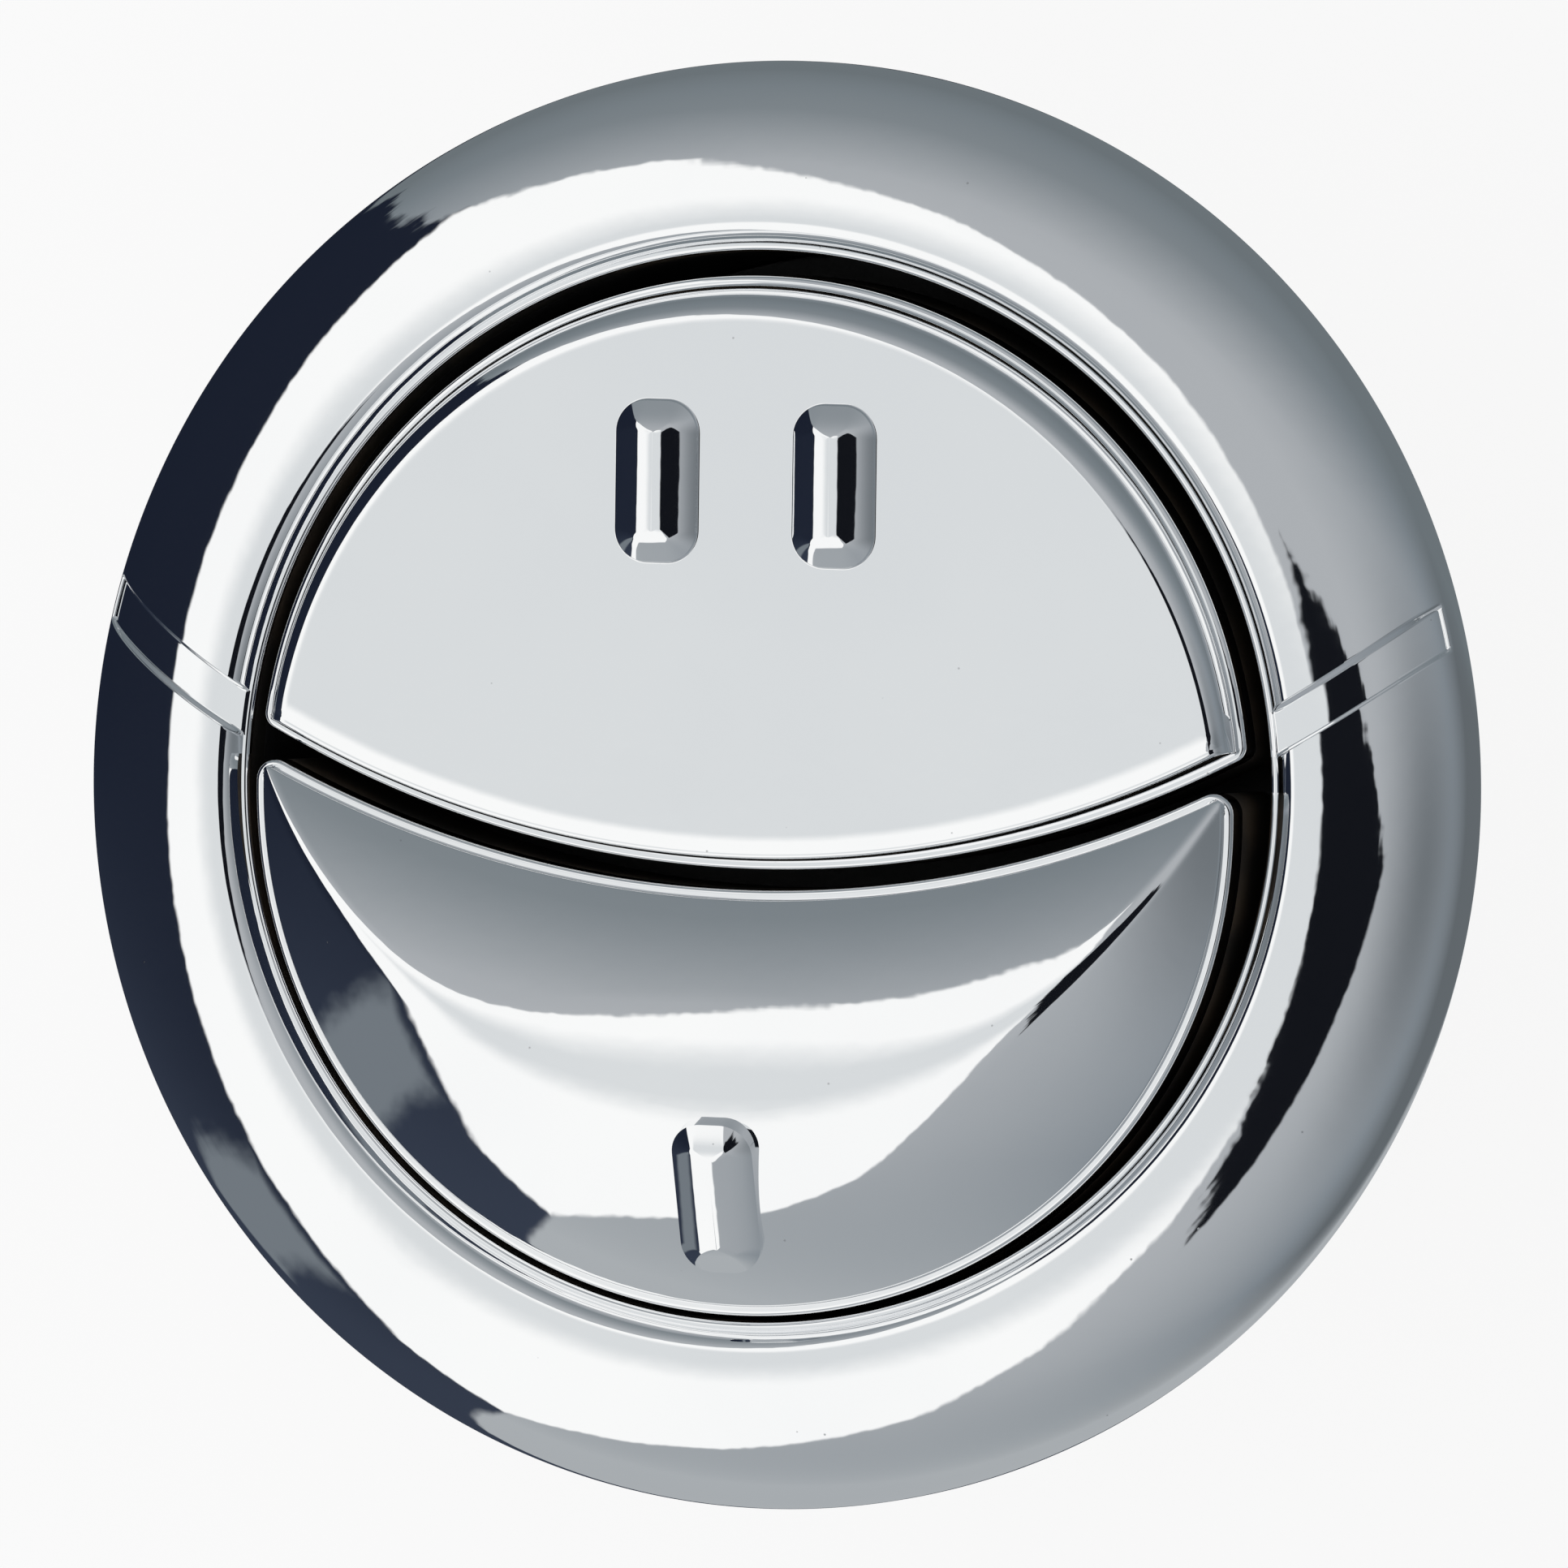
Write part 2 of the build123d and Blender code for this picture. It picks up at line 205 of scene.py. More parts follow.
# Patchy colour and roughness, fine surface height and dust specks, shared by every material
def wearGroup(s):
    number = "NodeSocketFloat"
    tree, inp, out = nodeGroup("surfaceWear", [
        ("Colour", "NodeSocketColor", (0.8, 0.8, 0.8, 1)),
        ("Tint", "NodeSocketColor", (0.7, 0.7, 0.7, 1)),
        ("Dust", "NodeSocketColor", (0.4, 0.4, 0.38, 1)),
        ("Patch", number, 120.0),
        ("Grain", number, 1500.0),
        ("Rough", number, 0.1),
        ("Spread", number, 0.05),
        ("Specks", number, 0.0),
    ], [("Colour", "NodeSocketColor"), ("Rough", number), ("Height", number)])
    coord = tree.nodes.new("ShaderNodeTexCoord").outputs["Object"]
    patch = noise(tree, coord, inp.outputs["Patch"], s["patchDetail"])
    cells = tree.nodes.new("ShaderNodeTexVoronoi")
    cells.inputs["Scale"].default_value = s["speckScale"]
    feed(tree, cells.inputs["Vector"], coord)
    chosen = calc(tree, "GREATER_THAN", cells.outputs["Color"], s["speckAbove"])
    spot = mapRange(tree, cells.outputs["Distance"], s["speckCore"], s["speckEdge"], 1.0, 0.0)
    speck = calc(tree, "MULTIPLY", calc(tree, "MULTIPLY", chosen, spot), inp.outputs["Specks"])
    share = mapRange(tree, patch, s["patchFrom"], s["patchTo"], 0.0, 1.0)
    colour = mixColour(tree, inp.outputs["Colour"], inp.outputs["Tint"], share)
    feed(tree, out.inputs["Colour"], mixColour(tree, colour, inp.outputs["Dust"], speck))
    rough = calc(tree, "MULTIPLY_ADD", patch, inp.outputs["Spread"], inp.outputs["Rough"])
    feed(tree, out.inputs["Rough"], calc(tree, "MULTIPLY_ADD", speck, s["speckRough"], rough))
    feed(tree, out.inputs["Height"], noise(tree, coord, inp.outputs["Grain"], s["grainDetail"]))
    return tree


wearTree = wearGroup(wearSet)


def material(name, look):
    mat = bpy.data.materials.new(name)
    mat.use_nodes = True
    tree = mat.node_tree
    shader = tree.nodes["Principled BSDF"]
    wear = tree.nodes.new("ShaderNodeGroup")
    wear.node_tree = wearTree
    for key, value in look["wear"].items():
        wear.inputs[key].default_value = value
    bump = tree.nodes.new("ShaderNodeBump")
    bump.inputs["Strength"].default_value = look["relief"][0]
    bump.inputs["Distance"].default_value = look["relief"][1] * mm
    feed(tree, bump.inputs["Height"], wear.outputs["Height"])
    feed(tree, shader.inputs["Base Color"], wear.outputs["Colour"])
    feed(tree, shader.inputs["Roughness"], wear.outputs["Rough"])
    feed(tree, shader.inputs["Normal"], bump.outputs[0])
    for key, value in look.get("shader", {}).items():
        shader.inputs[key].default_value = value
    return mat


# Relief is the bump's strength and its height in millimetres
looks = {
    "chrome_plate": {
        "wear": {
            "Colour": (0.955, 0.958, 0.962, 1), "Tint": (0.935, 0.94, 0.948, 1),
            "Dust": (0.42, 0.43, 0.44, 1),
            "Patch": 60.0, "Grain": 420.0, "Rough": 0.015, "Spread": 0.03, "Specks": 0.7,
        },
        "relief": (0.25, 0.05),
        "shader": {"Metallic": 1.0},
    },
    # painted shade: a near-black, brownish finish that stands for the shade deep in the gaps and inside,
    # where the real walls are chrome
    "paintedShade_inside": {
        "wear": {
            "Colour": (0.020, 0.018, 0.016, 1), "Tint": (0.050, 0.037, 0.026, 1),
            "Patch": 240.0, "Grain": 1800.0, "Rough": 0.42, "Spread": 0.2,
        },
        "relief": (0.3, 0.04),
        "shader": {"Specular IOR Level": 0.35},
    },
    "black_abs": {
        "wear": {
            "Colour": (0.018, 0.018, 0.019, 1), "Tint": (0.030, 0.030, 0.031, 1),
            "Patch": 160.0, "Grain": 2600.0, "Rough": 0.36, "Spread": 0.16, "Specks": 0.3,
        },
        "relief": (0.35, 0.04),
    },
    "white_acetal": {
        "wear": {
            "Colour": (0.76, 0.75, 0.71, 1), "Tint": (0.70, 0.69, 0.64, 1),
            "Patch": 140.0, "Grain": 2200.0, "Rough": 0.30, "Spread": 0.14, "Specks": 0.25,
        },
        "relief": (0.25, 0.03),
    },
    "foam_rubber": {
        "wear": {
            "Colour": (0.045, 0.045, 0.046, 1), "Tint": (0.065, 0.064, 0.062, 1),
            "Patch": 500.0, "Grain": 4200.0, "Rough": 0.72, "Spread": 0.2,
        },
        "relief": (0.9, 0.12),
    },
    "grey_rubber": {
        "wear": {
            "Colour": (0.17, 0.17, 0.175, 1), "Tint": (0.21, 0.21, 0.21, 1),
            "Patch": 210.0, "Grain": 3000.0, "Rough": 0.58, "Spread": 0.2, "Specks": 0.3,
        },
        "relief": (0.5, 0.05),
    },
    "zinc_steel": {
        "wear": {
            "Colour": (0.60, 0.60, 0.58, 1), "Tint": (0.52, 0.51, 0.47, 1),
            "Patch": 400.0, "Grain": 3800.0, "Rough": 0.24, "Spread": 0.2,
        },
        "relief": (0.4, 0.02),
        "shader": {"Metallic": 1.0},
    },
    "spring_steel": {
        "wear": {
            "Colour": (0.55, 0.55, 0.56, 1), "Tint": (0.42, 0.42, 0.43, 1),
            "Patch": 600.0, "Grain": 3800.0, "Rough": 0.2, "Spread": 0.2,
        },
        "relief": (0.3, 0.02),
        "shader": {"Metallic": 1.0},
    },
}
mats = {key: material(key, look) for key, look in looks.items()}
# chrome, and the near-black painted shade for the deep inside
plated = [mats["chrome_plate"], mats["paintedShade_inside"]]
print("stage: materials made")


# Bezel: turned ring whose grid lines follow the smile arc through the grooves
bezelSet = {
    "outR": 36.5, "edgeZ": 0.4, "edgeLand": 0.2, "springZ": 1.1, "rise": 4.9, "crownR": 28.5, "softR": 0.12,
    "ledgeR": 27.3, "lipZ": 5.3, "lipPower": 2.2, "lipSoft": 0.28, "boreR": 26.9, "platedDeep": 1.0,
    "wall": 1.8, "collarR": 28.3, "collarZ": 3.0, "smileR": 55.0, "smileY": 50.35,
    "grooveFloor": 0.9, "grooveWide": 1.16, "grooveBrim": 0.06, "grooveBank": 0.25, "grooveIn": 0.65,
    "grooveOut": 0.4, "grooveEndR": 36.2, "grooveFade": 0.13, "rightLift": 0.95, "leftLift": 0.25,
    "lugs": 6, "lugDeg": 18.0, "lugInR": 32.6, "lugOutR": 35.4, "lugLow": 0.85, "lugHigh": 1.55,
    "sectorSteps": 300, "edgeSteps": 7, "domeSteps": 56, "lipSteps": 15, "boreSteps": 9, "underSteps": 14,
    "grooveSteps": 7, "lugSteps": 8,
}


# Profile points are radius, height, groove depth and 1 where the chrome ends and the near-black painted shade
# of the deep inside begins
def arcPoints(cr, cz, a, b, degrees, paintedShade=0):
    return [(cr + a * math.cos(t), cz + b * math.sin(t), 0, paintedShade) for t in np.radians(degrees)]


def bezelProfile(s):
    soft, lip, wide, crownZ = s["softR"], s["lipSoft"], s["outR"] - s["crownR"], s["springZ"] + s["rise"]
    edge, dome = np.linspace(-90, 0, s["edgeSteps"]), np.linspace(0, 90, s["domeSteps"])
    pts = arcPoints(s["outR"] - soft, s["edgeZ"] + soft, soft, soft, edge)
    pts.append((s["outR"], s["springZ"] - s["edgeLand"], 0, 0))
    for r, z, _, _ in arcPoints(s["crownR"], s["springZ"], wide, s["rise"], dome):
        fade = smoothStep(min(max((s["grooveEndR"] - r) / s["grooveFade"], 0), 1))
        depth = s["grooveIn"] + (s["grooveOut"] - s["grooveIn"]) * (r - s["crownR"]) / wide
        pts.append((r, z, fade * depth, 0))
    for t in np.linspace(1, 0, s["lipSteps"])[1:]:
        fall = (crownZ - s["lipZ"]) * (1 - t) ** s["lipPower"]
        r = s["ledgeR"] + (s["crownR"] - s["ledgeR"]) * t
        pts.append((r, crownZ - fall, max(s["grooveIn"] - fall, 0), 0))
    pts += arcPoints(s["boreR"] + lip, s["lipZ"] - lip, lip, lip, np.linspace(90, 180, s["boreSteps"]))
    inside = [
        (s["boreR"], s["lipZ"] - s["platedDeep"]), (s["boreR"], s["collarZ"]),
        (s["collarR"], s["collarZ"]), (s["collarR"], crownZ - s["wall"]),
    ]
    pts += [(r, z, 0, 1) for r, z in inside]
    under = np.linspace(90, 0, s["underSteps"])
    pts += arcPoints(s["crownR"], s["springZ"], wide - s["wall"], s["rise"] - s["wall"], under, paintedShade=1)
    pts.append((s["outR"] - s["wall"], s["edgeZ"], 0, 1))
    return np.array(pts)


def bezelMesh(s):
    prof = bezelProfile(s)
    wide, flat, brim = s["grooveWide"], s["grooveFloor"], s["grooveBrim"]
    bank = np.linspace(flat, wide, s["grooveSteps"])
    side = np.concatenate([[flat / 2, flat - brim], bank, [wide + brim, wide + s["grooveBank"]]])
    across = np.concatenate([-side[::-1], [0], side])
    share = smoothStep(np.clip((wide - np.abs(across)) / (wide - flat), 0, 1))
    plain = np.zeros(s["sectorSteps"] - 2)
    rings = []

    def crossing(r, lift):
        y = (r * r + s["smileY"] ** 2 - (s["smileR"] - lift + across) ** 2) / (2 * s["smileY"])
        return np.arcsin(np.clip(y / r, -1, 1))

    for r, z, depth, _ in prof:
        right, left = crossing(r, s["rightLift"])[::-1], math.pi - crossing(r, s["leftLift"])
        top = np.linspace(right[-1], left[0], s["sectorSteps"])[1:-1]
        low = np.linspace(left[-1], right[0] + 2 * math.pi, s["sectorSteps"])[1:-1]
        cut = np.concatenate([share[::-1], plain, share, plain]) * depth
        rings.append(ringAt(r, z - cut, np.concatenate([right, top, left, low])))
    pts, faces = joinRings(rings, closed=True)
    cols = len(rings[0])
    # faces past the end of the chrome take the near-black painted shade
    paintedShade = np.concatenate([np.repeat(prof[1:, 3].astype(int), cols), np.zeros(cols, int)])
    return pts, faces, paintedShade.tolist()


def lugMesh(s, midDeg):
    steps, low, high = s["lugSteps"], s["lugLow"], s["lugHigh"]
    ang = np.radians(np.linspace(midDeg - s["lugDeg"] / 2, midDeg + s["lugDeg"] / 2, steps + 1))
    loop = [(s["lugInR"], low), (s["lugOutR"], low), (s["lugOutR"], high), (s["lugInR"], high)]
    pts = np.array([(r * math.cos(a), r * math.sin(a), z) for a in ang for r, z in loop])
    faces, last = [], 4 * steps
    for i in range(0, last, 4):
        for j in range(4):
            k = (j + 1) % 4
            faces.append((i + j, i + 4 + j, i + 4 + k, i + k))
    # the lugs take the near-black painted shade
    return pts, faces + [(0, 1, 2, 3), (last + 3, last + 2, last + 1, last)], 1


lugs = [lugMesh(bezelSet, 360.0 / bezelSet["lugs"] * i) for i in range(bezelSet["lugs"])]
bezel = shell("bezel", [bezelMesh(bezelSet)] + lugs, "housing", "chrome_plate", 40, plated)
print("stage: bezel", len(bezel.data.polygons))

# What the two caps share: grid counts, the roundings of the wall and the steps over the ledge
capSet = {
    "rimSteps": 230, "tipSteps": 9, "endEase": 0.35, "innerTipR": 0.15, "skirtSoft": 0.12, "tipEase": 0.8,
    "edgeSteps": 7, "ledgeStart": 0.04, "ledgeSteps": 4, "headStart": 0.02,
}


def arcXY(cy, radius, ang, cx=0.0):
    return np.stack([cx + radius * np.cos(ang), cy + radius * np.sin(ang)], -1)


# One closed outline, set in from the edge, with rounded tips. Side +1 is the lens, -1 the crescent.
def outlineRing(s, inset, tipR):
    side, rimY, smileY = s["side"], s["rimY"], s["smileY"]
    rimR, smileR = s["rimR"] - inset, s["smileR"] - side * inset
    d1, d2 = rimR - tipR, smileR - side * tipR
    tipY = (d1 * d1 - d2 * d2 + smileY * smileY - rimY * rimY) / (2 * (smileY - rimY))
    tipX = math.sqrt(max(d1 * d1 - (tipY - rimY) ** 2, 1e-9))
    rimA, smileA = math.atan2(tipY - rimY, tipX), math.atan2(tipY - smileY, tipX)
    even, ease = np.linspace(0, 1, capSet["rimSteps"]), capSet["endEase"]
    u = (1 - np.cos(even * math.pi)) / 2 * ease + even * (1 - ease)  # closer together near the tips
    t = np.linspace(0, 1, capSet["tipSteps"] + 2)[1:-1]
    if side > 0:
        rim = rimA + (math.pi - 2 * rimA) * u
        smile = (-math.pi - smileA) + (2 * smileA + math.pi) * u
        first = arcXY(tipY, tipR, (math.pi - rimA) + (rimA - smileA) * t, -tipX)
        second = arcXY(tipY, tipR, smileA + (rimA - smileA) * t, tipX)
    else:
        tipA = smileA + math.pi
        tipA += 2 * math.pi if tipA < rimA else 0
        rim = (math.pi - rimA) + (math.pi + 2 * rimA) * u
        smile = smileA + (-math.pi - 2 * smileA) * u
        first = arcXY(tipY, tipR, rimA + (tipA - rimA) * t, tipX)
        second = arcXY(tipY, tipR, (math.pi - tipA) + (tipA - rimA) * t, -tipX)
    return np.vstack([arcXY(rimY, rimR, rim), first, arcXY(smileY, smileR, smile), second])


# Strips that close a ring from its rim to its smile line
def closeCap(base, cols, flip):
    n, start = capSet["rimSteps"], capSet["rimSteps"] + capSet["tipSteps"]
    far = base + start + n - 1
    strip = [(base + k, base + k + 1, far - 1 - k, far - k) for k in range(n - 1)]
    strip.append(tuple(base + i for i in range(n - 1, start + 1)))
    strip.append(tuple(base + i % cols for i in range(start + n - 1, cols + 1)))
    return [f[::-1] for f in strip] if flip else strip


# How far the head's rings are set in from the ledge
def headInsets(s):
    near = np.linspace(capSet["headStart"], s["nearReach"], s["nearSteps"])
    far = np.linspace(capSet["headStart"], 1, s["farSteps"]) ** s["farPower"]
    return np.concatenate([near, s["nearReach"] + s["farReach"] * far])


# Rings from the inside of the roof, down the wall, round the skirt, over the ledge and up the head
def capRings(s, ledgeZ, headZ):
    rings = []
    innerR, tipR, soft = capSet["innerTipR"], s["cornerR"], capSet["skirtSoft"]

    def put(inset, corner, high):
        xy = outlineRing(s, inset, corner)
        z = high(xy) if callable(high) else np.full(len(xy), high)
        rings.append(np.column_stack([xy, z]))

    for inset in s["roofInsets"]:
        put(inset, innerR, lambda xy: headZ(xy) - s["wall"])
    put(s["wall"], innerR, s["skirtZ"])
    put(soft, tipR, s["skirtZ"])
    put(0.0, tipR, s["skirtZ"] + soft)
    put(0.0, tipR, lambda xy: ledgeZ(xy) - s["edgeR"] - s["platedH"])
    # the rows so far, below the chrome band, take the near-black painted shade
    paintedShadeRows = len(rings) - 1
    for t in np.radians(np.linspace(0, 90, capSet["edgeSteps"])):
        inset, drop = s["edgeR"] * (1 - math.cos(t)), s["edgeR"] * (1 - math.sin(t))
        put(inset, tipR - inset * capSet["tipEase"], lambda xy: ledgeZ(xy) - drop)
    ledge = np.linspace(s["edgeR"] + capSet["ledgeStart"], s["ledgeW"], capSet["ledgeSteps"])
    for inset in np.concatenate([ledge, s["ledgeW"] + headInsets(s)]):
        put(inset, max(tipR - inset, s["mitreR"]), headZ)
    return rings, paintedShadeRows


def capMesh(s, ledgeZ, headZ):
    rings, paintedShadeRows = capRings(s, ledgeZ, headZ)
    rows, cols = len(rings), len(rings[0])
    top, roof = closeCap((rows - 1) * cols, cols, False), closeCap(0, cols, True)
    faces = ringFaces(rows, cols) + top
    paintedShadeFaces = paintedShadeRows * cols
    # skirt, lower wall and roof faces take the near-black painted shade
    paintedShade = [1] * paintedShadeFaces + [0] * (len(faces) - paintedShadeFaces) + [1] * len(roof)
    return np.vstack(rings), faces + roof, paintedShade


def capBoss(s, side):
    # the bosses take the near-black painted shade
    return boss(side * s["bossX"], s["bossY"], s["bossLow"], s["bossHigh"], s["bossR"], 1)


def capPlace(s, high):
    return Matrix.Translation((0, 0, high)) @ Matrix.Rotation(math.radians(s["tiltDeg"]), 4, "X")


barSet = {
    "wide": 4.2, "long": 8.1, "corner": 1.6, "cornerFall": 1.2, "hip": 0.25, "sliver": 0.005, "wallH": 0.2,
    "archR": 3.5, "archTop": 0.02, "endLong": 1.3, "endSoft": 0.25, "endPower": 5, "root": 0.8,
    "fillet": 0.12, "fullX": 4.65, "fullY": 15.25, "halfY": -20.3, "halfTiltDeg": 18.0,
    "cornerSteps": 16, "filletSteps": 7, "archSteps": 26,
}


# Arched bar whose ends slope down; a fillet spreads its foot where the cap is flat
def barMesh(s, place, fillet):
    rings, half = [], s["wide"] / 2

    def put(inset, endInset, z):
        w, l = half - inset, s["long"] / 2 - endInset
        c = min(max(s["corner"] - s["cornerFall"] * inset, s["hip"]), w - s["sliver"])
        arcs = []
        for k, (sx, sy) in enumerate(((1, 1), (-1, 1), (-1, -1), (1, -1))):
            ang = np.radians(np.linspace(0, 90, s["cornerSteps"])) + k * math.pi / 2
            arcs.append(arcXY(sy * (l - c), c, ang, sx * (w - c)))
        xy = np.vstack(arcs)
        rings.append(np.column_stack([xy, np.full(len(xy), z)]))

    put(-fillet, -fillet, -s["root"])
    for t in np.radians(np.linspace(0, 90, s["filletSteps"])) if fillet else [0]:
        foot = -fillet * (1 - math.sin(t))
        put(foot, foot, fillet * (1 - math.cos(t)))
    flank = math.sqrt(s["archR"] ** 2 - half ** 2)
    for inset in half * (1 - np.cos(np.linspace(0, math.pi / 2, s["archSteps"]))):
        away = max(half - inset, s["archTop"])
        high = math.sqrt(s["archR"] ** 2 - away ** 2) - flank
        share = high / (s["archR"] - flank)
        put(half - away, s["endLong"] * share + s["endSoft"] * share ** s["endPower"], s["wallH"] + high)
    pts, faces = joinRings(rings, closed=False)
    return np.array([tuple(place @ Vector(p)) for p in pts]), faces, 0


fullSet = {
    "side": 1, "rimY": -0.38, "rimR": 26.05, "smileY": 50.35, "smileR": 54.5, "wall": 1.4, "skirtZ": -0.5,
    "cornerR": 0.8, "mitreR": 0.12, "edgeR": 0.2, "platedH": 1.6, "ledgeW": 0.36, "ledgeZ": 6.2,
    "rise": 1.52, "tiltDeg": 2.75, "rimWide": 1.01, "smileWide": 0.35, "power": 3.73, "root": 0.877,
    "crownWide": 0.95, "crownFall": 0.1, "mitreSoft": 0.08, "footSoft": 0.06,
    "roofInsets": [14.6, 9.0, 4.0, 2.2, 1.4],
    "bossX": 14.0, "bossY": 8.0, "bossLow": 2.6, "bossHigh": 6.6, "bossR": 2.6,
    "nearReach": 3.0, "nearSteps": 72, "farReach": 11.2, "farSteps": 20, "farPower": 1.5,
}


def fullLedge(xy):
    return np.full(len(xy), fullSet["ledgeZ"])


# Convex bevel that rises from the ledge and eases into the tilted top, which falls a little by the smile line
def fullHead(xy):
    s = fullSet
    lift = s["rise"] + xy[:, 1] * math.tan(math.radians(s["tiltDeg"]))
    rimD = s["rimR"] - np.hypot(xy[:, 0], xy[:, 1] - s["rimY"]) - s["ledgeW"]
    smileD = s["smileR"] - np.hypot(xy[:, 0], xy[:, 1] - s["smileY"]) - s["ledgeW"]

    def flank(away, wide):
        short = np.clip(1 - away / (wide * lift), 0, 1)
        return lift * (1 - short ** s["power"]) ** s["root"]

    high = softMin(flank(rimD, s["rimWide"]), flank(smileD, s["smileWide"]), s["mitreSoft"])
    near = np.clip(1 - np.maximum(smileD - s["smileWide"] * lift, 0) / s["crownWide"], 0, 1)
    high = high - s["crownFall"] * near * near
    return fullLedge(xy) - softMin(-high, np.zeros(len(xy)), s["footSoft"])


fullTop = capPlace(fullSet, fullSet["ledgeZ"] + fullSet["rise"])
fullParts = [capMesh(fullSet, fullLedge, fullHead)]
for side in (-1, 1):
    spot = Matrix.Translation((side * barSet["fullX"], barSet["fullY"], -fullSet["mitreSoft"] / 4))
    fullParts.append(barMesh(barSet, fullTop @ spot, barSet["fillet"]))
    fullParts.append(capBoss(fullSet, side))
fullCap = shell("full_flush_cap", fullParts, "full_flush", "chrome_plate", 38, plated)
print("stage: full flush cap", len(fullCap.data.polygons))

halfSet = {
    "side": -1, "rimY": -0.9, "rimR": 25.7, "smileY": 50.35, "smileR": 55.5, "wall": 1.4, "skirtZ": -0.5,
    "cornerR": 1.0, "mitreR": 0.2, "edgeR": 0.2, "platedH": 1.6, "ledgeW": 0.42, "ledgeZ": 7.75,
    "tiltDeg": 4.4, "pillowR": 17.0, "crestGap": 1.6, "ridgeMid": 1.4, "ridgeTip": 0.45, "ridgeReach": 18.0,
    "footH": 0.25, "footSlope": 4.0, "footSoft": 0.06, "firstHigh": 2.0, "rounds": 4, "leastSquare": 1.0,
    "roofInsets": [10.2, 7.0, 4.0, 2.4, 1.4],
    "bossX": 11.0, "bossY": -13.5, "bossLow": 2.6, "bossHigh": 9.9, "bossR": 2.6,
    "nearReach": 0.6, "nearSteps": 14, "farReach": 9.4, "farSteps": 64, "farPower": 1.0,
}


def halfLedge(xy):
    return halfSet["ledgeZ"] + xy[:, 1] * math.tan(math.radians(halfSet["tiltDeg"]))


def pillowArcs(s):
    edgeIn, edgeOut = s["smileR"] + s["ledgeW"], s["rimR"] - s["ledgeW"]
    width = s["smileY"] - edgeIn - s["rimY"] + edgeOut
    reach = (width + s["crestGap"]) / 2
    centreZ = s["footH"] - s["pillowR"] * math.cos(math.asin(reach / s["pillowR"]))
    return edgeIn + reach, edgeOut - reach, centreZ


# Two arcs, one from each edge, that meet in a soft ridge. They lie in the tilted ledge's own frame.
def halfHead(xy):
    s = halfSet
    crestIn, crestOut, centreZ = pillowArcs(s)
    tilt = math.radians(s["tiltDeg"])
    mid = smoothStep(np.clip(1 - np.abs(xy[:, 0]) / s["ridgeReach"], 0, 1))
    ridge = s["ridgeTip"] + (s["ridgeMid"] - s["ridgeTip"]) * mid

    def arc(away):
        return centreZ + np.sqrt(np.maximum(s["pillowR"] ** 2 - away ** 2, s["leastSquare"]))

    z = np.full(len(xy), s["firstHigh"])
    for _ in range(s["rounds"]):  # the height shifts the place it is read at, and settles in a few rounds
        y = (xy[:, 1] + z * math.sin(tilt)) / math.cos(tilt)
        inner = np.minimum(np.hypot(xy[:, 0], y - s["smileY"]) - crestIn, 0)
        outer = np.maximum(np.hypot(xy[:, 0], y - s["rimY"]) - crestOut, 0)
        z = softMin(arc(inner), arc(outer), ridge)
    high = s["ledgeZ"] + y * math.sin(tilt) + z * math.cos(tilt)
    smileD = np.hypot(xy[:, 0], xy[:, 1] - s["smileY"]) - s["smileR"]
    rimD = s["rimR"] - np.hypot(xy[:, 0], xy[:, 1] - s["rimY"])
    nearest = np.minimum(smileD, rimD) - s["ledgeW"]
    foot = halfLedge(xy) + np.maximum(nearest, 0) * s["footSlope"]
    return np.where(nearest <= 0, halfLedge(xy), softMin(foot, high, s["footSoft"]))


def halfBarPlace(s):
    _, crestOut, centreZ = pillowArcs(s)
    away = s["rimY"] - barSet["halfY"] - crestOut
    z = centreZ + math.sqrt(s["pillowR"] ** 2 - away ** 2)
    lean = Matrix.Rotation(math.radians(barSet["halfTiltDeg"]), 4, "X")
    return capPlace(s, s["ledgeZ"]) @ Matrix.Translation((0, barSet["halfY"], z)) @ lean


halfParts = [capMesh(halfSet, halfLedge, halfHead), barMesh(barSet, halfBarPlace(halfSet), 0.0)]
halfParts += [capBoss(halfSet, side) for side in (-1, 1)]
halfCap = shell("half_flush_cap", halfParts, "half_flush", "chrome_plate", 38, plated)
print("stage: half flush cap", len(halfCap.data.polygons))

threadSet = {"rootAt": 0.62, "flank": 0.3}  # shares of half a pitch, from the crest's middle


# Trapezoid thread: 1 on the crest, 0 in the root
def threadShape(z, ang, pitch):
    phase = (z / pitch - ang / (2 * math.pi)) % 1.0
    off = np.abs(phase - 0.5) * 2
    return smoothStep(np.clip((threadSet["rootAt"] - off) / threadSet["flank"], 0, 1))


def threadRings(s, low, high):
    ang = fullTurn(s["cols"])
    rings = []
    for z in np.linspace(low, high, int(round((high - low) / s["threadStep"])) + 1):
        fade = np.clip(min((z - low), (high - z)) / s["fade"], 0, 1)
        r = s["rootR"] + (s["crestR"] - s["rootR"]) * threadShape(z, ang, s["pitch"]) * fade
        rings.append(ringAt(r, z, ang))
    return rings


barrelSet = {
    "inR": 26.9, "crestR": 28.5, "rootR": 27.75, "pitch": 4.0, "fade": 0.9, "threadStep": 0.25, "low": -24.0,
    "lowLand": 0.05, "registerR": 29.3, "registerEnd": -5.0, "flangeR": 33.0, "flangeLow": 1.6,
    "flangeTop": 3.0, "soft": 0.2, "shoulderR": 23.3, "shoulderZ": -14.4, "shoulderT": 2.2,
    "bosses": 4, "bossR": 3.2, "bossRing": 22.3, "bossLow": -23.4, "bossSink": 0.05, "cols": 168,
}


